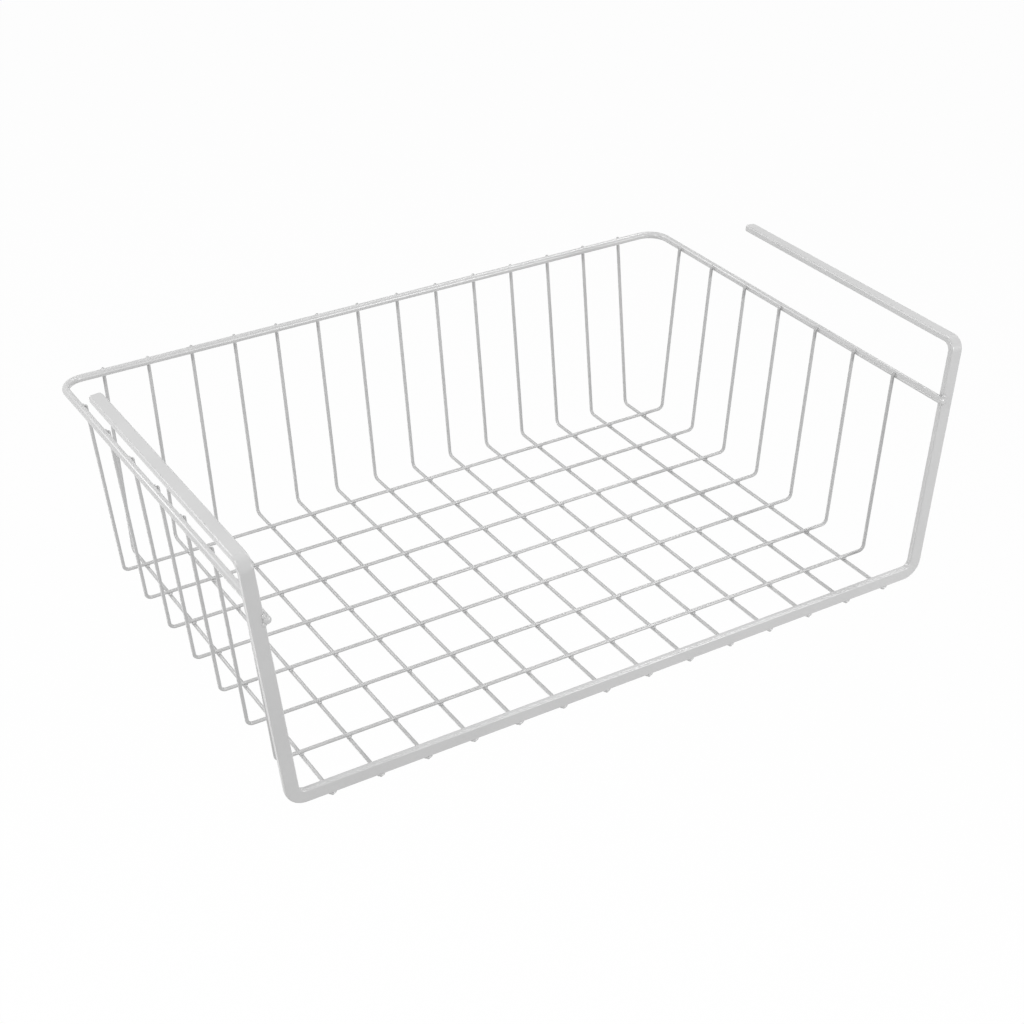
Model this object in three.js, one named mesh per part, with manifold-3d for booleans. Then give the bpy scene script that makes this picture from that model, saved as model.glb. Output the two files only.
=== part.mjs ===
// Under-shelf hanging basket: a welded, coated steel-wire basket, open at the front.
// One flat bar makes the hanger arms, the uprights and the front bar of the floor. A round rod makes
// the rim, and two layers of thin wire make the floor and the walls.
// Millimetres, +X to the right, +Y to the back, +Z up, origin at the middle of the footprint.

import Module from 'manifold-3d';
import * as THREE from 'three';
import { mergeVertices } from 'three/addons/utils/BufferGeometryUtils.js';

// Sections
const wireDiameter = 2.2;
const rimDiameter = 4;
const barWidth = 7.7;
const barThickness = 3.5;
const barEdgeRadius = 1;
const weldGap = 0.1;
const notchGap = 0.3;

// Front frame, on the bar's centre line
const frameTopWidth = 389.8;
const frameTaper = 12.95;
const frameFootRadius = 7;
const armBendRadius = 5.5;
const armLength = 174.5;
const armEndRadius = 2.2;
const shelfGap = 27;

// Rim, on the rod's axis
const rimHeight = 106.8;
const rimDepth = 255.9;
const rimCornerRadius = 12;
const rimEndOverhang = 1.5;
const rimSetDown = 1.6;

// Floor and walls
const floorInset = 6.45;
const backFlare = 8.9;
const wireBendRadius = 3.2;
const tipRise = 1.3;
const floorWireCount = 14;
const floorWireMargin = 13;
const floorWireSetback = 2;
const crossWireCount = 7;
const crossWireFrontMargin = 34;
const crossWireBackMargin = 21;

// Facets
const wireSides = 8;
const rimSides = 16;
const bendSteps = 6;
const edgeSteps = 4;
const endSteps = 4;

// Finish
const coatingColour = 0xc9c9c8;
const coatingRoughness = 0.35;
const coatingMetalness = 0;

const wasm = await Module();
wasm.setup();

const wireRadius = wireDiameter / 2;
const rimRadius = rimDiameter / 2;

/**
 * A straight rod bent at its corners: each corner carries the radius of its bend on the axis. An end with a
 * radius is rounded across the section's x: its stations narrow towards the tip.
 */
class BentRod extends THREE.Curve {

	constructor( corners, sectionX, sectionWidth ) {

		super();
		this.stations = [];
		this.tangents = [];
		this.widths = [];
		this.sectionX = sectionX;
		this.sectionWidth = sectionWidth;
		const points = corners.map( ( { at } ) => at );
		const directions = points.slice( 1 ).map( ( point, i ) => point.clone().sub( points[ i ] ).normalize() );
		this.addEnd( points[ 0 ], directions[ 0 ], corners[ 0 ].radius, 1 );
		for ( let i = 1; i < points.length - 1; i ++ ) {

			this.addBend( points[ i ], directions[ i - 1 ], directions[ i ], corners[ i ].radius );

		}

		this.addEnd( points.at( - 1 ), directions.at( - 1 ), corners.at( - 1 ).radius, - 1 );

	}

	get steps() {

		return this.stations.length - 1;

	}

	addStation( point, tangent, width = 1 ) {

		this.stations.push( point.clone() );
		this.tangents.push( tangent.clone() );
		this.widths.push( width );

	}

	addEnd( tip, tangent, radius, inward ) {

		if ( radius === 0 ) {

			this.addStation( tip, tangent );
			return;

		}

		for ( let step = 0; step <= endSteps; step ++ ) {

			const fromTip = inward > 0 ? step : endSteps - step;
			const angle = fromTip / endSteps * Math.PI / 2;
			const point = tip.clone().addScaledVector( tangent, inward * radius * ( 1 - Math.cos( angle ) ) );
			this.addStation( point, tangent, 1 - 2 * radius * ( 1 - Math.sin( angle ) ) / this.sectionWidth );

		}

	}

	addBend( corner, before, after, radius ) {

		const angle = before.angleTo( after );
		const axis = before.clone().cross( after ).normalize();
		const inward = axis.clone().cross( before );
		const start = corner.clone().addScaledVector( before, - radius * Math.tan( angle / 2 ) );
		const centre = start.clone().addScaledVector( inward, radius );
		for ( let step = 0; step <= bendSteps; step ++ ) {

			const turn = angle * step / bendSteps;
			const spoke = inward.clone().multiplyScalar( - radius ).applyAxisAngle( axis, turn );
			this.addStation( centre.clone().add( spoke ), before.clone().applyAxisAngle( axis, turn ) );

		}

	}

	getPointAt( u, target = new THREE.Vector3() ) {

		return target.copy( this.stations[ Math.round( u * this.steps ) ] );

	}

	getTangentAt( u, target = new THREE.Vector3() ) {

		return target.copy( this.tangents[ Math.round( u * this.steps ) ] );

	}

	/** Carries the section along the rod without twist, starting with its x axis along sectionX. */
	computeFrenetFrames() {

		const normals = [ this.sectionX.clone() ];
		for ( let i = 1; i < this.tangents.length; i ++ ) {

			const turn = new THREE.Quaternion().setFromUnitVectors( this.tangents[ i - 1 ], this.tangents[ i ] );
			normals.push( normals[ i - 1 ].clone().applyQuaternion( turn ) );

		}

		const binormals = normals.map( ( normal, i ) => this.tangents[ i ].clone().cross( normal ) );
		normals.forEach( ( normal, i ) => normal.multiplyScalar( this.widths[ i ] ) );
		return { tangents: this.tangents, normals, binormals };

	}

}

/** Round section as a polygon whose flats lie on the true diameter, with one flat on each axis. */
function roundSection( diameter, sides ) {

	const cornerRadius = diameter / 2 / Math.cos( Math.PI / sides );
	const points = [];
	for ( let i = 0; i < sides; i ++ ) {

		const angle = ( i + 0.5 ) * 2 * Math.PI / sides;
		points.push( new THREE.Vector2( Math.cos( angle ), Math.sin( angle ) ).multiplyScalar( cornerRadius ) );

	}

	return new THREE.Shape( points );

}

/** Flat bar section with rounded edges: width along x, thickness along y. */
function flatBarSection( width, thickness, radius ) {

	const x = width / 2 - radius;
	const y = thickness / 2 - radius;
	const shape = new THREE.Shape();
	shape.absarc( x, y, radius, 0, Math.PI / 2 );
	shape.absarc( - x, y, radius, Math.PI / 2, Math.PI );
	shape.absarc( - x, - y, radius, Math.PI, 1.5 * Math.PI );
	shape.absarc( x, - y, radius, 1.5 * Math.PI, 2 * Math.PI );
	shape.closePath();
	return shape;

}

function rodGeometry( section, path ) {

	return new THREE.ExtrudeGeometry( section, {
		extrudePath: path,
		steps: path.steps,
		curveSegments: edgeSteps
	} );

}

function solidOf( geometry ) {

	const bare = geometry.clone();
	bare.deleteAttribute( 'normal' );
	bare.deleteAttribute( 'uv' );
	const merged = mergeVertices( bare );
	return new wasm.Manifold( new wasm.Mesh( {
		numProp: 3,
		vertProperties: merged.getAttribute( 'position' ).array,
		triVerts: merged.getIndex().array
	} ) );

}

/** What is left of a geometry once a second one is taken out of it. */
function cutBy( geometry, tool ) {

	const left = solidOf( geometry ).subtract( solidOf( tool ) ).getMesh();
	const result = new THREE.BufferGeometry();
	result.setAttribute( 'position', new THREE.BufferAttribute( left.vertProperties, left.numProp ) );
	result.setIndex( new THREE.BufferAttribute( left.triVerts, 1 ) );
	result.computeVertexNormals();
	return result;

}

function coatedMesh( name, geometry ) {

	const finish = new THREE.MeshStandardMaterial( {
		color: coatingColour,
		roughness: coatingRoughness,
		metalness: coatingMetalness
	} );
	const mesh = new THREE.Mesh( geometry, finish );
	mesh.name = name;
	return mesh;

}

const corner = ( x, y, z, radius = 0 ) => ( { at: new THREE.Vector3( x, y, z ), radius } );

/** Lean, from upright, of a line through the origin that passes a rod at the given offset from its axis. */
function leanPast( along, up, offset ) {

	return Math.atan2( along, up ) + Math.asin( offset / Math.hypot( along, up ) );

}

// Levels, from the underside of the floor wires, and depths, from the front face of the bar
const floorWireLevel = wireRadius;
const crossWireLevel = floorWireLevel + wireDiameter + weldGap;
const barLevel = wireDiameter + weldGap + barWidth / 2;
const armLevel = rimHeight + rimRadius + shelfGap + barThickness / 2;
const barDepth = barThickness / 2;
const tipLevel = rimHeight + tipRise;

const topHalf = frameTopWidth / 2;
const footHalf = topHalf - frameTaper;
const uprightLean = Math.atan2( frameTaper, armLevel - barLevel );
const floorHalf = footHalf - floorInset;
const floorDepth = rimDepth - backFlare;

// The welds set the rim's ends into the inner edges of the uprights
const uprightHalfAtRim = footHalf + ( rimHeight - barLevel ) * Math.tan( uprightLean );
const rimHalf = uprightHalfAtRim - ( barWidth / 2 + rimRadius - rimSetDown ) / Math.cos( uprightLean );

// Walls lean so that the wires just pass the rim: the cross wires inside it, the floor wires outside it
const wireToRim = wireRadius + rimRadius + weldGap;
const sideLean = leanPast( rimHalf - floorHalf, rimHeight - crossWireLevel, - wireToRim );
const backLean = leanPast( rimDepth - floorDepth, rimHeight - floorWireLevel, wireToRim );

/** The bent bar, larger all round by a growth. */
function barGeometry( growth ) {

	const acrossBar = new THREE.Vector3( Math.cos( uprightLean ), 0, Math.sin( uprightLean ) );
	const path = new BentRod( [
		corner( - topHalf, armLength, armLevel, armEndRadius ),
		corner( - topHalf, barDepth, armLevel, armBendRadius ),
		corner( - footHalf, barDepth, barLevel, frameFootRadius ),
		corner( footHalf, barDepth, barLevel, frameFootRadius ),
		corner( topHalf, barDepth, armLevel, armBendRadius ),
		corner( topHalf, armLength, armLevel, armEndRadius )
	], acrossBar, barWidth );
	const width = barWidth + 2 * growth;
	const thickness = barThickness + 2 * growth;
	return rodGeometry( flatBarSection( width, thickness, barEdgeRadius + growth ), path );

}

function frontFrame() {

	return coatedMesh( 'front_frame', barGeometry( 0 ) );

}

function rimRod() {

	const path = new BentRod( [
		corner( - rimHalf, - rimEndOverhang, rimHeight ),
		corner( - rimHalf, rimDepth, rimHeight, rimCornerRadius ),
		corner( rimHalf, rimDepth, rimHeight, rimCornerRadius ),
		corner( rimHalf, - rimEndOverhang, rimHeight )
	], new THREE.Vector3( 0, 0, 1 ) );
	const rod = rodGeometry( roundSection( rimDiameter, rimSides ), path );
	return coatedMesh( 'rim_rod', cutBy( rod, barGeometry( notchGap ) ) );

}

function wireGeometry( path ) {

	return rodGeometry( roundSection( wireDiameter, wireSides ), path );

}

function floorWire( index ) {

	const pitch = 2 * ( floorHalf - floorWireMargin ) / ( floorWireCount - 1 );
	const x = floorWireMargin - floorHalf + index * pitch;
	const tipDepth = floorDepth + ( tipLevel - floorWireLevel ) * Math.tan( backLean );
	const path = new BentRod( [
		corner( x, floorWireSetback, floorWireLevel ),
		corner( x, floorDepth, floorWireLevel, wireBendRadius ),
		corner( x, tipDepth, tipLevel )
	], new THREE.Vector3( 1, 0, 0 ) );
	const number = String( index + 1 ).padStart( 2, '0' );
	return coatedMesh( `floor_wire_${ number }`, wireGeometry( path ) );

}

function crossWire( index ) {

	const pitch = ( floorDepth - crossWireFrontMargin - crossWireBackMargin ) / ( crossWireCount - 1 );
	const y = crossWireFrontMargin + index * pitch;
	const tipHalf = floorHalf + ( tipLevel - crossWireLevel ) * Math.tan( sideLean );
	const path = new BentRod( [
		corner( - tipHalf, y, tipLevel ),
		corner( - floorHalf, y, crossWireLevel, wireBendRadius ),
		corner( floorHalf, y, crossWireLevel, wireBendRadius ),
		corner( tipHalf, y, tipLevel )
	], new THREE.Vector3( 0, 1, 0 ) );
	return coatedMesh( `cross_wire_${ index + 1 }`, wireGeometry( path ) );

}

const basket = new THREE.Group();
basket.add( frontFrame(), rimRod() );
for ( let i = 0; i < floorWireCount; i ++ ) basket.add( floorWire( i ) );
for ( let i = 0; i < crossWireCount; i ++ ) basket.add( crossWire( i ) );

// Depths are modelled from the front face, so the basket moves to put the origin under its middle
const box = new THREE.Box3().setFromObject( basket );
const middle = box.getCenter( new THREE.Vector3() );
basket.position.set( - middle.x, - middle.y, - box.min.z );

export default basket;
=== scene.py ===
"""Under-shelf hanging basket, dressed: bent bar, rods and wires with their welds under one silver coat."""

import math

import bmesh
import bpy
from bpy.props import FloatProperty, FloatVectorProperty, IntProperty, PointerProperty
from mathutils import Matrix, Quaternion, Vector


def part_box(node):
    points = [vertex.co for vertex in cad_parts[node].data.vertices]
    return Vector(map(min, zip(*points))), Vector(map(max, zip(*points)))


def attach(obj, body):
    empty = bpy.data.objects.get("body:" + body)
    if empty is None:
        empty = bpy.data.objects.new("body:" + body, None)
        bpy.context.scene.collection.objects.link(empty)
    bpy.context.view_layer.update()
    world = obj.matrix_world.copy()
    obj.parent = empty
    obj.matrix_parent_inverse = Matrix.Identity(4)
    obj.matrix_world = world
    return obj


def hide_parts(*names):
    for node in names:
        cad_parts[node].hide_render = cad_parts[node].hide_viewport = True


bl_info = {
    "name": "Under-shelf hanging basket",
    "version": (1, 0, 0),
    "blender": (4, 5, 0),
    "location": "3D View > Sidebar > Basket",
    "description": "Builds a welded and coated wire basket that hangs from a shelf",
    "category": "Object",
}

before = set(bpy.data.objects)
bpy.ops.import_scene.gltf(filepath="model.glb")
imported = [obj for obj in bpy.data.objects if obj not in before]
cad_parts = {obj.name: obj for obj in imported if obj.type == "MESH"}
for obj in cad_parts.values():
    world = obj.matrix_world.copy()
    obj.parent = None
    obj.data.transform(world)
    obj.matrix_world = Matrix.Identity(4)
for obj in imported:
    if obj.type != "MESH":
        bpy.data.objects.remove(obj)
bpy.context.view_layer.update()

MM = 0.001
BODY = "root"
FLOOR_NODES = sorted(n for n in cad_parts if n.startswith("floor_wire_"))
CROSS_NODES = sorted(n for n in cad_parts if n.startswith("cross_wire_"))

# The frame gives the places that everything else is set out from.
FRONT_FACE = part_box("front_frame")[0].y
RIM_LEVEL = (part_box("rim_rod")[0].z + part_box("rim_rod")[1].z) / 2

# How finely the sections, bends, ends and beads are divided.
WIRE_SIDES = 16
RIM_SIDES = 28
BAR_EDGE_STEPS = 6
WIRE_BEND_STEPS = 10
RIM_BEND_STEPS = 16
BAR_BEND_STEPS = 14
ARM_END_STEPS = 8
DOME_ANGLES = [math.radians(degrees) for degrees in (15, 35, 60, 90)]
BEAD_SEGMENTS = 12
BEAD_RINGS = 8

# A weld bead's other sizes, as shares of its width.
BEAD_HEIGHT = 0.5
RIM_BEAD_ACROSS = 0.8
RIM_BEAD_HEIGHT = 0.45
END_BEAD_HEIGHT = 0.7

# Beads differ in size by up to this share, in an order that the seed fixes.
BEAD_VARIATION = 0.1
BEAD_SEED = 7


def linear(hex_colour):
    """An sRGB hex colour as linear red, green and blue."""
    parts = [int(hex_colour[i:i + 2], 16) / 255 for i in (1, 3, 5)]
    return [c / 12.92 if c <= 0.04045 else ((c + 0.055) / 1.055) ** 2.4 for c in parts]


WHITE = (*linear("#FFFFFF"), 1)


def length(name, description, millimetres):
    """A size that a user may change, kept in metres."""
    return FloatProperty(name=name, description=description, default=millimetres * MM, min=0.0, precision=5,
                         subtype="DISTANCE", unit="LENGTH")


def colour(name, description, hex_colour):
    """A colour that a user may change."""
    return FloatVectorProperty(name=name, description=description, default=linear(hex_colour), size=3,
                               min=0.0, max=1.0, subtype="COLOR")


class BasketSizes(bpy.types.PropertyGroup):
    """Sizes of the bar, rods, wires and welds."""

    wire_diameter: length("Wire", "Diameter of the floor and cross wires", 1.9)
    wire_room: length("Wire room", "Room that the setting out gives a wire at its welds", 2.2)
    rim_diameter: length("Rim rod", "Diameter of the rim rod", 4.0)
    rim_dome: length("Rim dome", "How far the rim rod's ends bulge", 1.2)
    bar_width: length("Bar width", "Width of the flat bar", 7.1)
    bar_thickness: length("Bar thickness", "Thickness of the flat bar", 3.5)
    bar_edge: length("Bar edge", "Radius of the flat bar's long edges", 1.0)
    weld_gap: length("Weld gap", "Gap between rods that are welded together", 0.1)
    frame_width: length("Frame width", "Width between the arms, on the bar's centre line", 389.8)
    frame_taper: length("Frame taper", "How far each upright leans in towards its foot", 12.95)
    foot_radius: length("Foot radius", "Bend between an upright and the front bar", 7.0)
    arm_radius: length("Arm radius", "Bend between an upright and its arm", 5.5)
    arm_length: length("Arm length", "Length of an arm, from the front face", 174.5)
    arm_end: length("Arm end", "Radius of an arm's free end, seen from above", 2.2)
    arm_end_edge: length("Arm end edge", "Radius of the edges round an arm's free end", 0.8)
    shelf_gap: length("Shelf gap", "Room for the shelf between the rim and the arms", 27.0)
    rim_level: length("Rim level", "Height of the rim rod's axis", RIM_LEVEL / MM)
    rim_depth: length("Rim depth", "Depth of the back rim's axis, from the front face", 255.9)
    rim_radius: length("Rim radius", "Bend at the rim's back corners", 12.0)
    rim_overhang: length("Rim overhang", "How far the rim's ends stand in front of the bar", 1.5)
    rim_set_down: length("Rim set-down", "How deep the weld sets the rim's ends into the uprights", 1.3)
    floor_inset: length("Floor inset", "From an upright's foot in to the side wall's bend", 6.45)
    back_flare: length("Back flare", "How far the back wall leans out up to the rim", 8.9)
    wire_radius: length("Wire bend", "Bend between the floor and a wall", 3.2)
    tip_rise: length("Tip rise", "Height of the wires' tips above the rim's axis", 1.3)
    tip_shift: length("Tip shift", "How much lower at left and higher at right the cross wires end", 1.1)
    floor_margin: length("Floor wire margin", "From a side wall's bend to the first floor wire", 13.0)
    floor_setback: length("Floor wire setback", "From the front face to the floor wires' tips", 0.5)
    cross_front: length("Cross wire front", "From the front face to the first cross wire", 34.0)
    cross_back: length("Cross wire back", "From the last cross wire to the back bend", 21.0)
    crossing_bead: length("Crossing weld", "Width of the weld at a crossing of two wires", 2.7)
    bar_bead: length("Bar weld", "Width of the weld between a floor wire and the front bar", 4.6)
    bar_bead_drop: length("Bar weld drop", "How far the front bar's welds hang below the joint", 0.33)
    rim_bead: length("Rim weld", "Width of the weld where a wire meets the rim", 2.6)
    end_bead: length("Rim end weld", "Width of a weld bead between the rim's end and an upright", 2.4)
    end_bead_rise: length("Rim end weld rise", "How far above and below the rim's axis its beads lie", 2.1)
    floor_count: IntProperty(name="Floor wires", description="Number of floor wires", min=2,
                             default=len(FLOOR_NODES))
    cross_count: IntProperty(name="Cross wires", description="Number of cross wires", min=2,
                             default=len(CROSS_NODES))


class BasketFinish(bpy.types.PropertyGroup):
    """Colours of the coating and the stage."""

    coat: colour("Coat", "Silver grey of the coating", "#C3C3C3")
    # A darker copy of the coat, painted on the wires as painted shade
    wire_shade_coat: colour("Wire shade coat", "Darker coat painted on the wires as shade", "#A6A6A6")
    floor: colour("Floor", "Colour of the floor", "#F4F4F4")


class Layout:
    """Places that follow from the sizes, as the maker's drawing would give them, in metres."""

    def __init__(self, sizes):
        s = sizes
        self.wire = s.wire_room / 2
        self.rim = s.rim_diameter / 2
        self.floor_level = self.wire
        self.cross_level = self.floor_level + s.wire_room + s.weld_gap
        self.bar_level = s.wire_room + s.weld_gap + s.bar_width / 2
        self.arm_level = s.rim_level + self.rim + s.shelf_gap + s.bar_thickness / 2
        self.tip_level = s.rim_level + s.tip_rise
        self.bar_y = FRONT_FACE + s.bar_thickness / 2
        self.rim_y = FRONT_FACE + s.rim_depth
        self.floor_y = self.rim_y - s.back_flare
        self.top_half = s.frame_width / 2
        self.foot_half = self.top_half - s.frame_taper
        self.lean = math.atan2(s.frame_taper, self.arm_level - self.bar_level)
        upright_half = self.foot_half + (s.rim_level - self.bar_level) * math.tan(self.lean)
        self.rim_half = upright_half - (s.bar_width / 2 + self.rim - s.rim_set_down) / math.cos(self.lean)
        self.floor_half = self.foot_half - s.floor_inset
        touch = self.wire + self.rim + s.weld_gap
        self.side_lean = lean_past(self.rim_half - self.floor_half, s.rim_level - self.cross_level, -touch)
        self.back_lean = lean_past(s.back_flare, s.rim_level - self.floor_level, touch)
        first_x = s.floor_margin - self.floor_half
        step_x = -2 * first_x / (s.floor_count - 1)
        self.floor_x = [first_x + i * step_x for i in range(s.floor_count)]
        first_y = FRONT_FACE + s.cross_front
        step_y = (self.floor_y - s.cross_back - first_y) / (s.cross_count - 1)
        self.cross_y = [first_y + i * step_y for i in range(s.cross_count)]


def lean_past(along, up, offset):
    """Lean, from upright, of a line that passes a rod at an offset from the rod's axis."""
    return math.atan2(along, up) + math.asin(offset / math.hypot(along, up))


def node(tree, kind, inputs=None, **settings):
    """Add a node with its settings; an input takes a value or another node's output."""
    made = tree.nodes.new(kind)
    for name, value in settings.items():
        setattr(made, name, value)
    for socket, value in (inputs or {}).items():
        if isinstance(value, bpy.types.NodeSocket):
            tree.links.new(value, made.inputs[socket])
        else:
            made.inputs[socket].default_value = value
    return made


def silver_powder_coat(finish):
    """Silver polyester powder coat on steel, baked: an even satin grey with a soft gloss, a faint orange
    peel that breaks up the highlights, and painted shade: a darker tone painted on the wires for the shade
    that falls on them."""
    name = "silver_powder_coat"
    if name in bpy.data.materials:
        return bpy.data.materials[name]
    material = bpy.data.materials.new(name)
    material.use_nodes = True
    tree = material.node_tree
    tree.nodes.clear()
    place = node(tree, "ShaderNodeTexCoord").outputs["Object"]
    # Powder thickness wanders over about 30 mm, and the wires are painted darker than the bar and the rim, as
    # painted shade.
    patch = 30 * MM
    wire_shade_depth = 0.45
    thickness = node(tree, "ShaderNodeTexNoise", {"Vector": place, "Scale": 1 / patch, "Detail": 3.0})
    build = node(tree, "ShaderNodeMapRange", {"Value": thickness.outputs["Fac"], "To Min": 0.6,
                                              "To Max": 1.0})
    thin = node(tree, "ShaderNodeAttribute", attribute_name="thin")
    # Random powder build, plus painted shade: the wires' mark pulls the tone towards the darker coat
    build_and_wire_shade = node(tree, "ShaderNodeMath", {0: thin.outputs["Fac"], 1: -wire_shade_depth, 2: build.outputs["Result"]},
                 operation="MULTIPLY_ADD")
    tone = node(tree, "ShaderNodeMix", {"Factor": build_and_wire_shade.outputs["Value"], "A": (*finish.wire_shade_coat, 1),
                                        "B": (*finish.coat, 1)}, data_type="RGBA")
    # Orange peel: cells of about 1.5 mm, a few hundredths of a millimetre high.
    cell = 1.5 * MM
    cell_height = 0.03 * MM
    peel = node(tree, "ShaderNodeTexNoise", {"Vector": place, "Scale": 1 / cell, "Detail": 1.0})
    relief = node(tree, "ShaderNodeBump", {"Height": peel.outputs["Fac"], "Strength": 0.03,
                                           "Distance": cell_height})
    gloss = node(tree, "ShaderNodeMapRange", {"Value": thickness.outputs["Fac"], "To Min": 0.29,
                                              "To Max": 0.35})
    coat = node(tree, "ShaderNodeBsdfPrincipled", {
        "Base Color": tone.outputs["Result"], "Roughness": gloss.outputs["Result"],
        "Normal": relief.outputs["Normal"], "Specular IOR Level": 0.85})
    node(tree, "ShaderNodeOutputMaterial", {"Surface": coat.outputs["BSDF"]})
    return material


def bend(points, radii, steps):
    """Stations (place, direction) along a rod that is bent at its inner points."""
    directions = [(b - a).normalized() for a, b in zip(points, points[1:])]
    stations = [(points[0], directions[0])]
    for corner, radius, before, after in zip(points[1:-1], radii, directions, directions[1:]):
        angle = before.angle(after)
        axis = before.cross(after).normalized()
        inward = axis.cross(before)
        centre = corner - before * (radius * math.tan(angle / 2)) + inward * radius
        for step in range(steps + 1):
            turn = Quaternion(axis, angle * step / steps)
            stations.append((centre - (turn @ inward) * radius, turn @ before))
    stations.append((points[-1], directions[-1]))
    return stations


def domed_tip(tip, inward, dome):
    """Places and tapers that round a rod's tip, from the tip inwards."""
    return [(tip + inward * (dome * (1 - math.cos(angle))), math.sin(angle)) for angle in DOME_ANGLES]


def rod_path(name, points, radii, steps, dome):
    """A polyline for the rod tree: bent at its corners, with a taper that rounds both tips."""
    (first, first_way), *middle, (last, last_way) = bend(points, radii, steps)
    path = domed_tip(first, first_way, dome)
    path += [(place, 1.0) for place, _ in middle]
    path += reversed(domed_tip(last, -last_way, dome))
    mesh = bpy.data.meshes.new(name)
    mesh.from_pydata([place for place, _ in path], [(i, i + 1) for i in range(len(path) - 1)], [])
    tapers = [taper for _, taper in path]
    mesh.attributes.new("taper", "FLOAT", "POINT").data.foreach_set("value", tapers)
    return mesh


def tree_with(name, sockets):
    """A Geometry Nodes tree with named inputs: returns it with its input node's outputs."""
    tree = bpy.data.node_groups.new(name, "GeometryNodeTree")
    tree.interface.new_socket("Geometry", in_out="INPUT", socket_type="NodeSocketGeometry")
    for socket, kind in sockets.items():
        tree.interface.new_socket(socket, in_out="INPUT", socket_type=kind)
    tree.interface.new_socket("Geometry", in_out="OUTPUT", socket_type="NodeSocketGeometry")
    return tree, node(tree, "NodeGroupInput").outputs


def rod_row_tree():
    """A round rod swept along a path and repeated in a row."""
    name = "Rod row"
    if name in bpy.data.node_groups:
        return bpy.data.node_groups[name]
    tree, given = tree_with(name, {
        "Diameter": "NodeSocketFloat", "Thin": "NodeSocketFloat", "Sides": "NodeSocketInt",
        "Count": "NodeSocketInt", "Step": "NodeSocketVector", "Material": "NodeSocketMaterial"})
    path = node(tree, "GeometryNodeMeshToCurve", {"Mesh": given["Geometry"]})
    radius = node(tree, "ShaderNodeMath", {0: given["Diameter"], 1: 0.5}, operation="MULTIPLY")
    section = node(tree, "GeometryNodeCurvePrimitiveCircle", {
        "Resolution": given["Sides"], "Radius": radius.outputs["Value"]})
    taper = node(tree, "GeometryNodeInputNamedAttribute", {"Name": "taper"}, data_type="FLOAT")
    rod = node(tree, "GeometryNodeCurveToMesh", {
        "Curve": path.outputs["Curve"], "Profile Curve": section.outputs["Curve"],
        "Scale": taper.outputs["Attribute"], "Fill Caps": True})
    # The coat reads this mark and paints the rod darker where it is 1, as painted shade.
    marked = node(tree, "GeometryNodeStoreNamedAttribute", {
        "Geometry": rod.outputs["Mesh"], "Name": "thin", "Value": given["Thin"]}, data_type="FLOAT")
    smooth = node(tree, "GeometryNodeSetShadeSmooth", {"Geometry": marked.outputs["Geometry"]})
    row = node(tree, "GeometryNodeMeshLine", {"Count": given["Count"], "Offset": given["Step"]})
    rods = node(tree, "GeometryNodeInstanceOnPoints", {
        "Points": row.outputs["Mesh"], "Instance": smooth.outputs["Geometry"]})
    real = node(tree, "GeometryNodeRealizeInstances", {"Geometry": rods.outputs["Instances"]})
    coated = node(tree, "GeometryNodeSetMaterial", {
        "Geometry": real.outputs["Geometry"], "Material": given["Material"]})
    node(tree, "NodeGroupOutput", {"Geometry": coated.outputs["Geometry"]})
    return tree


def weld_tree():
    """A weld bead at each point, lying flat on the facing that the point carries, no two quite alike."""
    name = "Weld beads"
    if name in bpy.data.node_groups:
        return bpy.data.node_groups[name]
    tree, given = tree_with(name, {
        "Size": "NodeSocketVector", "Variation": "NodeSocketFloat", "Seed": "NodeSocketInt",
        "Material": "NodeSocketMaterial"})
    ball = node(tree, "GeometryNodeMeshUVSphere", {
        "Segments": BEAD_SEGMENTS, "Rings": BEAD_RINGS, "Radius": 0.5})
    bead = node(tree, "GeometryNodeTransform", {"Geometry": ball.outputs["Mesh"], "Scale": given["Size"]})
    smooth = node(tree, "GeometryNodeSetShadeSmooth", {"Geometry": bead.outputs["Geometry"]})
    facing = node(tree, "GeometryNodeInputNamedAttribute", {"Name": "facing"}, data_type="FLOAT_VECTOR")
    turn = node(tree, "FunctionNodeAlignRotationToVector", {"Vector": facing.outputs["Attribute"]}, axis="Z")
    least = node(tree, "ShaderNodeMath", {0: 1.0, 1: given["Variation"]}, operation="SUBTRACT")
    most = node(tree, "ShaderNodeMath", {0: 1.0, 1: given["Variation"]}, operation="ADD")
    scale = node(tree, "FunctionNodeRandomValue", {
        "Min": least.outputs["Value"], "Max": most.outputs["Value"], "Seed": given["Seed"]},
        data_type="FLOAT_VECTOR")
    beads = node(tree, "GeometryNodeInstanceOnPoints", {
        "Points": given["Geometry"], "Instance": smooth.outputs["Geometry"],
        "Rotation": turn.outputs["Rotation"], "Scale": scale.outputs["Value"]})
    real = node(tree, "GeometryNodeRealizeInstances", {"Geometry": beads.outputs["Instances"]})
    coated = node(tree, "GeometryNodeSetMaterial", {
        "Geometry": real.outputs["Geometry"], "Material": given["Material"]})
    node(tree, "NodeGroupOutput", {"Geometry": coated.outputs["Geometry"]})
    return tree


def grown(name, start, tree, values):
    """Run a tree on a start mesh and keep the result as a plain mesh object."""
    piece = bpy.data.objects.new(name, start)
    bpy.context.scene.collection.objects.link(piece)
    modifier = piece.modifiers.new(tree.name, "NODES")
    modifier.node_group = tree
    for socket in tree.interface.items_tree:
        if socket.in_out == "INPUT" and socket.name in values:
            modifier[socket.identifier] = values[socket.name]
    evaluated = piece.evaluated_get(bpy.context.evaluated_depsgraph_get())
    result = bpy.data.meshes.new_from_object(evaluated)
    piece.modifiers.remove(modifier)
    piece.data = result
    piece.data.name = name
    bpy.data.meshes.remove(start)
    if not result.polygons:
        raise RuntimeError(f"{name} came out empty")
    return piece


def fit(piece, *nodes):
    """Hang a finished piece on the basket's body, in place of the CAD nodes that it stands for."""
    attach(piece, BODY)
    if nodes:
        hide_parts(*nodes)


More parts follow.
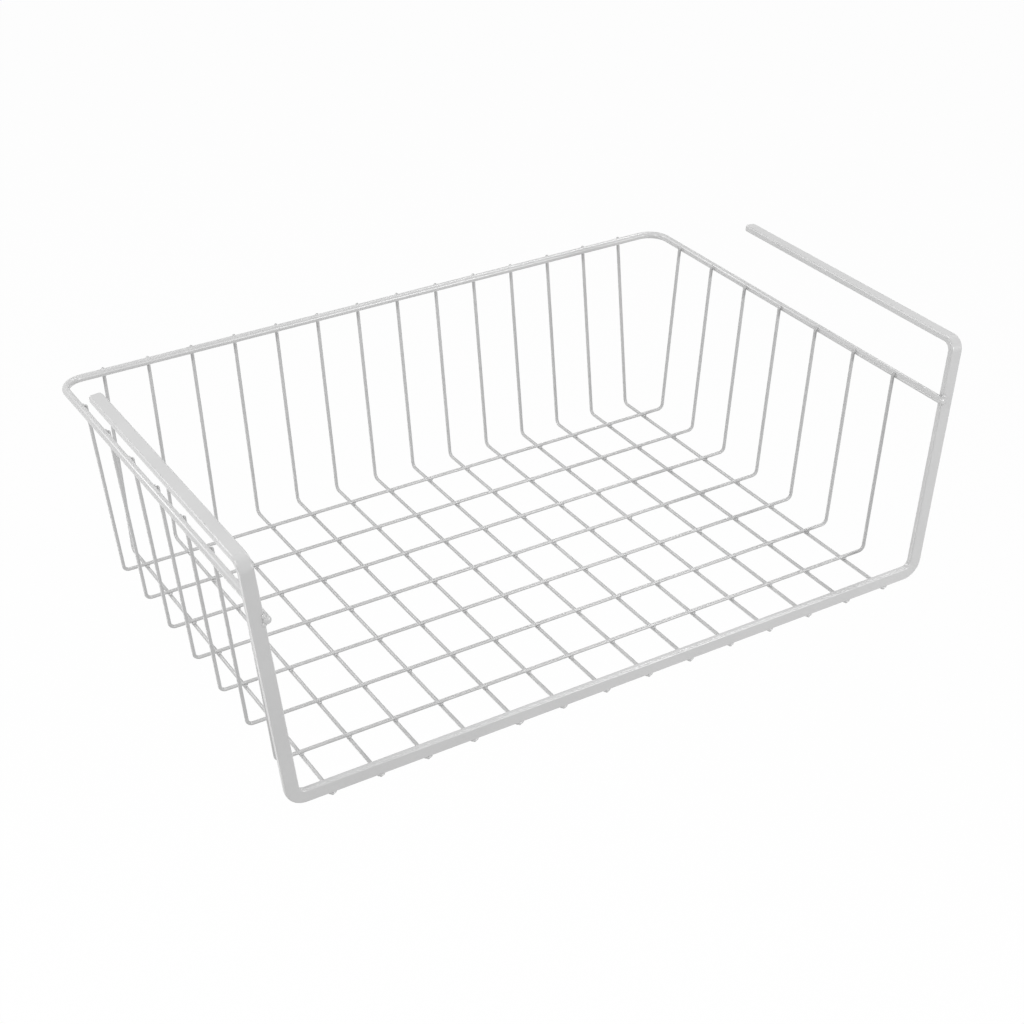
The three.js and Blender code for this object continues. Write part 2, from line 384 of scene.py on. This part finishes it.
def bar_section(width, thickness, radius):
    """Outline of the flat bar, width along x. Points just inside the wide faces keep those faces flat."""
    across, up = width / 2 - radius, thickness / 2 - radius
    inset = radius * 0.15
    points = []
    for quarter, (sx, sy) in enumerate(((1, 1), (-1, 1), (-1, -1), (1, -1))):
        arc = []
        for step in range(BAR_EDGE_STEPS + 1):
            angle = math.pi / 2 * (quarter + step / BAR_EDGE_STEPS)
            arc.append((sx * across + radius * math.cos(angle), sy * up + radius * math.sin(angle)))
        flat = (sx * (across - inset), sy * (up + radius))
        points += arc + [flat] if sx * sy > 0 else [flat] + arc
    return points


def swept_bar(name, stations, first_across, section, scales):
    """A closed mesh of a section carried along stations without twist; scales shrink it in x and y."""
    shape = bmesh.new()
    rings = []
    across, previous = first_across, stations[0][1]
    for (place, direction), (scale_x, scale_y) in zip(stations, scales):
        across = previous.rotation_difference(direction) @ across
        previous = direction
        up = direction.cross(across)
        rings.append([shape.verts.new(place + across * (x * scale_x) + up * (y * scale_y))
                      for x, y in section])
    for ring, following in zip(rings, rings[1:]):
        for i in range(len(section)):
            j = (i + 1) % len(section)
            shape.faces.new((ring[i], ring[j], following[j], following[i]))
    shape.faces.new(reversed(rings[0]))
    shape.faces.new(rings[-1])
    for face in shape.faces:
        face.smooth = True
    bmesh.ops.recalc_face_normals(shape, faces=shape.faces)
    mesh = bpy.data.meshes.new(name)
    shape.to_mesh(mesh)
    shape.free()
    piece = bpy.data.objects.new(name, mesh)
    bpy.context.scene.collection.objects.link(piece)
    return piece


def rounded_end(tip, direction, inward, sizes):
    """Stations and scales that round an arm's free end from above and ease its edges. The first station
    lies a little way round, so that the end closes on a small flat."""
    stations, scales = [], []
    edge = sizes.arm_end_edge
    flat = 0.08
    for step in range(ARM_END_STEPS + 1):
        angle = math.pi / 2 * (flat + (1 - flat) * step / ARM_END_STEPS)
        back = sizes.arm_end * (1 - math.cos(angle))
        narrow = 1 - 2 * sizes.arm_end * (1 - math.sin(angle)) / sizes.bar_width
        part = min(1.0, back / edge)
        thin = 1 - 2 * edge * (1 - math.sqrt(1 - (1 - part) ** 2)) / sizes.bar_thickness
        stations.append((tip + direction * (inward * back), direction))
        scales.append((narrow, thin))
    if inward < 0:
        stations.reverse()
        scales.reverse()
    return stations, scales


class BASKET_OT_front_frame(bpy.types.Operator):
    """Bend one flat bar into both arms, both uprights and the front bar"""

    bl_idname = "basket.front_frame"
    bl_label = "Front frame"

    def execute(self, context):
        sizes = context.scene.basket_sizes
        at = Layout(sizes)
        back = FRONT_FACE + sizes.arm_length
        points = [Vector(p) for p in (
            (-at.top_half, back, at.arm_level), (-at.top_half, at.bar_y, at.arm_level),
            (-at.foot_half, at.bar_y, at.bar_level), (at.foot_half, at.bar_y, at.bar_level),
            (at.top_half, at.bar_y, at.arm_level), (at.top_half, back, at.arm_level))]
        radii = (sizes.arm_radius, sizes.foot_radius, sizes.foot_radius, sizes.arm_radius)
        middle = bend(points, radii, BAR_BEND_STEPS)
        first, first_scales = rounded_end(points[0], middle[0][1], 1, sizes)
        last, last_scales = rounded_end(points[-1], middle[-1][1], -1, sizes)
        stations = first + middle[1:-1] + last
        scales = first_scales + [(1.0, 1.0)] * (len(middle) - 2) + last_scales
        across = Vector((math.cos(at.lean), 0, math.sin(at.lean)))
        section = bar_section(sizes.bar_width, sizes.bar_thickness, sizes.bar_edge)
        piece = swept_bar("front_bar_and_arms", stations, across, section, scales)
        piece.data.materials.append(silver_powder_coat(context.scene.basket_finish))
        fit(piece, "front_frame")
        return {"FINISHED"}


class BASKET_OT_rim_rod(bpy.types.Operator):
    """Bend the rim rod round both sides and the back"""

    bl_idname = "basket.rim_rod"
    bl_label = "Rim rod"

    def execute(self, context):
        sizes = context.scene.basket_sizes
        at = Layout(sizes)
        front = FRONT_FACE - sizes.rim_overhang
        points = [Vector((x, y, sizes.rim_level)) for x, y in (
            (-at.rim_half, front), (-at.rim_half, at.rim_y), (at.rim_half, at.rim_y), (at.rim_half, front))]
        start = rod_path("rim_path", points, (sizes.rim_radius,) * 2, RIM_BEND_STEPS, sizes.rim_dome)
        piece = grown("rim_rod_coated", start, rod_row_tree(), {
            "Diameter": sizes.rim_diameter, "Thin": 0.0, "Sides": RIM_SIDES, "Count": 1,
            "Step": (0.0, 0.0, 0.0), "Material": silver_powder_coat(context.scene.basket_finish)})
        fit(piece, "rim_rod")
        return {"FINISHED"}


class BASKET_OT_floor_wires(bpy.types.Operator):
    """Set out the wires that run along the floor and up the back wall"""

    bl_idname = "basket.floor_wires"
    bl_label = "Floor wires"

    def execute(self, context):
        sizes = context.scene.basket_sizes
        at = Layout(sizes)
        tip_y = at.floor_y + (at.tip_level - at.floor_level) * math.tan(at.back_lean)
        points = [Vector((at.floor_x[0], y, z)) for y, z in (
            (FRONT_FACE + sizes.floor_setback, at.floor_level), (at.floor_y, at.floor_level),
            (tip_y, at.tip_level))]
        start = rod_path("floor_wire_path", points, (sizes.wire_radius,), WIRE_BEND_STEPS, at.wire)
        # Thin 1 paints these wires in the darker coat, as painted shade
        piece = grown("floor_wires", start, rod_row_tree(), {
            "Diameter": sizes.wire_diameter, "Thin": 1.0, "Sides": WIRE_SIDES, "Count": sizes.floor_count,
            "Step": (at.floor_x[1] - at.floor_x[0], 0.0, 0.0),
            "Material": silver_powder_coat(context.scene.basket_finish)})
        fit(piece, *FLOOR_NODES)
        return {"FINISHED"}


class BASKET_OT_cross_wires(bpy.types.Operator):
    """Set out the wires that cross the floor and go up both side walls"""

    bl_idname = "basket.cross_wires"
    bl_label = "Cross wires"

    def execute(self, context):
        sizes = context.scene.basket_sizes
        at = Layout(sizes)
        low, high = at.tip_level - sizes.tip_shift, at.tip_level + sizes.tip_shift
        low_half, high_half = (at.floor_half + (level - at.cross_level) * math.tan(at.side_lean)
                               for level in (low, high))
        points = [Vector((x, at.cross_y[0], z)) for x, z in (
            (-low_half, low), (-at.floor_half, at.cross_level), (at.floor_half, at.cross_level),
            (high_half, high))]
        start = rod_path("cross_wire_path", points, (sizes.wire_radius,) * 2, WIRE_BEND_STEPS, at.wire)
        # Thin 1 paints these wires in the darker coat, as painted shade
        piece = grown("cross_wires", start, rod_row_tree(), {
            "Diameter": sizes.wire_diameter, "Thin": 1.0, "Sides": WIRE_SIDES, "Count": sizes.cross_count,
            "Step": (0.0, at.cross_y[1] - at.cross_y[0], 0.0),
            "Material": silver_powder_coat(context.scene.basket_finish)})
        fit(piece, *CROSS_NODES)
        return {"FINISHED"}


def weld_points(name, welds):
    """Bare points for the weld tree, each with the direction that its bead lies flat against."""
    mesh = bpy.data.meshes.new(name)
    mesh.from_pydata([place for place, _ in welds], [], [])
    facings = [c for _, facing in welds for c in facing]
    mesh.attributes.new("facing", "FLOAT_VECTOR", "POINT").data.foreach_set("vector", facings)
    return mesh


class BASKET_OT_welds(bpy.types.Operator):
    """Bead the welds at the crossings, under the front bar and along the rim"""

    bl_idname = "basket.welds"
    bl_label = "Welds"

    def execute(self, context):
        sizes = context.scene.basket_sizes
        coat = silver_powder_coat(context.scene.basket_finish)
        bead, bar_bead = sizes.crossing_bead, sizes.bar_bead
        rim_bead, end_bead = sizes.rim_bead, sizes.end_bead
        across, height = rim_bead * RIM_BEAD_ACROSS, rim_bead * RIM_BEAD_HEIGHT
        shapes = {
            "crossing_welds": (bead, bead, bead * BEAD_HEIGHT),
            "front_bar_welds": (bar_bead, sizes.bar_thickness, bar_bead * BEAD_HEIGHT),
            "back_rim_welds": (rim_bead, across, height),
            "side_rim_welds": (across, rim_bead, height),
            "rim_end_welds": (end_bead, end_bead, end_bead * END_BEAD_HEIGHT),
        }
        for name, welds in self.places(sizes).items():
            piece = grown(name, weld_points(name + "_points", welds), weld_tree(), {
                "Size": shapes[name], "Variation": BEAD_VARIATION, "Seed": BEAD_SEED, "Material": coat})
            fit(piece)
        return {"FINISHED"}

    def places(self, sizes):
        """Place and facing of every bead, by group."""
        at = Layout(sizes)
        seam = sizes.wire_room + sizes.weld_gap / 2
        under_bar = seam - sizes.bar_bead_drop
        reach = at.rim + sizes.weld_gap / 2
        up = Vector((0, 0, 1))
        to_front = Vector((0, -1, 0))
        to_back = Vector((0, math.cos(at.back_lean), -math.sin(at.back_lean)))
        side_rims, rim_ends = [], []
        for side in (-1, 1):
            inward = Vector((-side * math.cos(at.side_lean), 0, math.sin(at.side_lean)))
            side_rims += [(Vector((side * at.rim_half, y, sizes.rim_level)) + inward * reach, inward)
                          for y in at.cross_y]
            seam_x = side * (at.rim_half + at.rim - sizes.rim_set_down / 2)
            rim_ends += [(Vector((seam_x, FRONT_FACE, sizes.rim_level + rise)), to_front)
                         for rise in (-sizes.end_bead_rise, sizes.end_bead_rise)]
        return {
            "crossing_welds": [(Vector((x, y, seam)), up) for x in at.floor_x for y in at.cross_y],
            "front_bar_welds": [(Vector((x, at.bar_y, under_bar)), up) for x in at.floor_x],
            "back_rim_welds": [(Vector((x, at.rim_y, sizes.rim_level)) + to_back * reach, to_back)
                               for x in at.floor_x],
            "side_rim_welds": side_rims,
            "rim_end_welds": rim_ends,
        }


def softbox(name, place, target, width, height, watts):
    """A plain rectangular studio lamp that points at a target."""
    lamp = bpy.data.lights.new(name, "AREA")
    lamp.shape = "RECTANGLE"
    lamp.size, lamp.size_y, lamp.energy = width, height, watts
    holder = bpy.data.objects.new(name, lamp)
    holder.location = place
    holder.rotation_euler = (Vector(target) - Vector(place)).to_track_quat("-Z", "Y").to_euler()
    bpy.context.scene.collection.objects.link(holder)


def seen_directly(tree):
    """1 for rays that show the background itself: camera, glossy and transmission rays."""
    rays = node(tree, "ShaderNodeLightPath").outputs
    either = node(tree, "ShaderNodeMath", {0: rays["Is Camera Ray"], 1: rays["Is Glossy Ray"]},
                  operation="MAXIMUM")
    return node(tree, "ShaderNodeMath", {0: either.outputs["Value"], 1: rays["Is Transmission Ray"]},
                operation="MAXIMUM").outputs["Value"]


class BASKET_OT_stage(bpy.types.Operator):
    """Set up the floor far below the basket, the lamps and the camera"""

    bl_idname = "basket.stage"
    bl_label = "Stage"

    def execute(self, context):
        scene = context.scene
        self.floor(scene)
        self.light(scene)
        self.camera(scene)
        scene.view_settings.view_transform = "Standard"
        return {"FINISHED"}

    def floor(self, scene):
        """A pale paper floor below the hanging basket: white to the eye, with the basket's faint shadow."""
        half, level = 4.0, -0.6
        mesh = bpy.data.meshes.new("floor")
        corners = [(x * half, y * half, level) for x, y in ((-1, -1), (1, -1), (1, 1), (-1, 1))]
        mesh.from_pydata(corners, [], [(0, 1, 2, 3)])
        floor = bpy.data.objects.new("floor", mesh)
        scene.collection.objects.link(floor)
        paper = bpy.data.materials.new("white_paper")
        paper.use_nodes = True
        tree = paper.node_tree
        tree.nodes.clear()
        lit = node(tree, "ShaderNodeBsdfDiffuse", {"Color": (*scene.basket_finish.floor, 1)})
        glow = node(tree, "ShaderNodeEmission", {"Color": WHITE, "Strength": 1.0})
        # The glow leaves a small share to the lit paper, which takes the shadow.
        glow_share = 0.96
        share = node(tree, "ShaderNodeMath", {0: seen_directly(tree), 1: glow_share}, operation="MULTIPLY")
        show = node(tree, "ShaderNodeMixShader", {
            0: share.outputs["Value"], 1: lit.outputs["BSDF"], 2: glow.outputs["Emission"]})
        node(tree, "ShaderNodeOutputMaterial", {"Surface": show.outputs["Shader"]})
        mesh.materials.append(paper)

    def light(self, scene):
        """Small softboxes all round, strongest from the left and low at the front right. The one behind draws
        lines along the rods and edges, and the low one lightens the left of the upright wires."""
        centre = Vector((0.0, 0.0, 0.06))
        for name, turn, rise, distance, width, height, watts in (
                ("left", -75, 38, 1.3, 0.3, 0.3, 6.2),
                ("right", 108, 55, 1.3, 0.3, 0.3, 3.8),
                ("front_right", 28, 12, 1.3, 0.25, 0.15, 6.2),
                ("back_left", -147, 40, 2.4, 0.4, 0.5, 12.0),
                ("low_left", -112, -30, 0.95, 0.3, 0.3, 1.3)):
            across, up = math.radians(turn), math.radians(rise)
            way = Vector((math.sin(across) * math.cos(up), -math.cos(across) * math.cos(up), math.sin(up)))
            softbox(name, centre + way * distance, centre, width, height, watts)
        world = bpy.data.worlds.new("studio")
        scene.world = world
        world.use_nodes = True
        tree = world.node_tree
        tree.nodes.clear()
        room = node(tree, "ShaderNodeBackground", {"Color": WHITE, "Strength": 0.55})
        white = node(tree, "ShaderNodeBackground", {"Color": WHITE, "Strength": 1.0})
        show = node(tree, "ShaderNodeMixShader", {
            0: seen_directly(tree), 1: room.outputs["Background"], 2: white.outputs["Background"]})
        node(tree, "ShaderNodeOutputWorld", {"Surface": show.outputs["Shader"]})

    def camera(self, scene):
        """Camera at the photograph's angle: from the front left and above."""
        place = Vector((-0.44814, -0.77461, 0.57481))
        yaw, pitch, roll = 0.53433, 0.54371, 0.01040
        lens = bpy.data.cameras.new("camera")
        lens.sensor_width = 36.0
        lens.lens = 68.9
        holder = bpy.data.objects.new("camera", lens)
        turn = (Matrix.Rotation(-yaw, 4, "Z") @ Matrix.Rotation(math.pi / 2 - pitch, 4, "X")
                @ Matrix.Rotation(-roll, 4, "Z"))
        holder.matrix_world = Matrix.Translation(place) @ turn
        scene.collection.objects.link(holder)
        scene.camera = holder


class BASKET_PT_sidebar(bpy.types.Panel):
    """Lists the steps that build the basket, and its sizes and colours"""

    bl_idname = "BASKET_PT_sidebar"
    bl_label = "Hanging basket"
    bl_space_type = "VIEW_3D"
    bl_region_type = "UI"
    bl_category = "Basket"

    def draw(self, context):
        for operator in OPERATORS:
            self.layout.operator(operator.bl_idname)
        for group in (context.scene.basket_sizes, context.scene.basket_finish):
            column = self.layout.column(align=True)
            for name in group.__annotations__:
                column.prop(group, name)


OPERATORS = (
    BASKET_OT_front_frame,
    BASKET_OT_rim_rod,
    BASKET_OT_floor_wires,
    BASKET_OT_cross_wires,
    BASKET_OT_welds,
    BASKET_OT_stage,
)
CLASSES = (BasketSizes, BasketFinish, *OPERATORS, BASKET_PT_sidebar)


def register():
    for cls in CLASSES:
        bpy.utils.register_class(cls)
    bpy.types.Scene.basket_sizes = PointerProperty(type=BasketSizes)
    bpy.types.Scene.basket_finish = PointerProperty(type=BasketFinish)


def unregister():
    del bpy.types.Scene.basket_finish
    del bpy.types.Scene.basket_sizes
    for cls in reversed(CLASSES):
        bpy.utils.unregister_class(cls)


def main():
    register()
    bpy.ops.basket.front_frame()
    bpy.ops.basket.rim_rod()
    bpy.ops.basket.floor_wires()
    bpy.ops.basket.cross_wires()
    bpy.ops.basket.welds()
    bpy.ops.basket.stage()


if __name__ == "__main__":
    main()
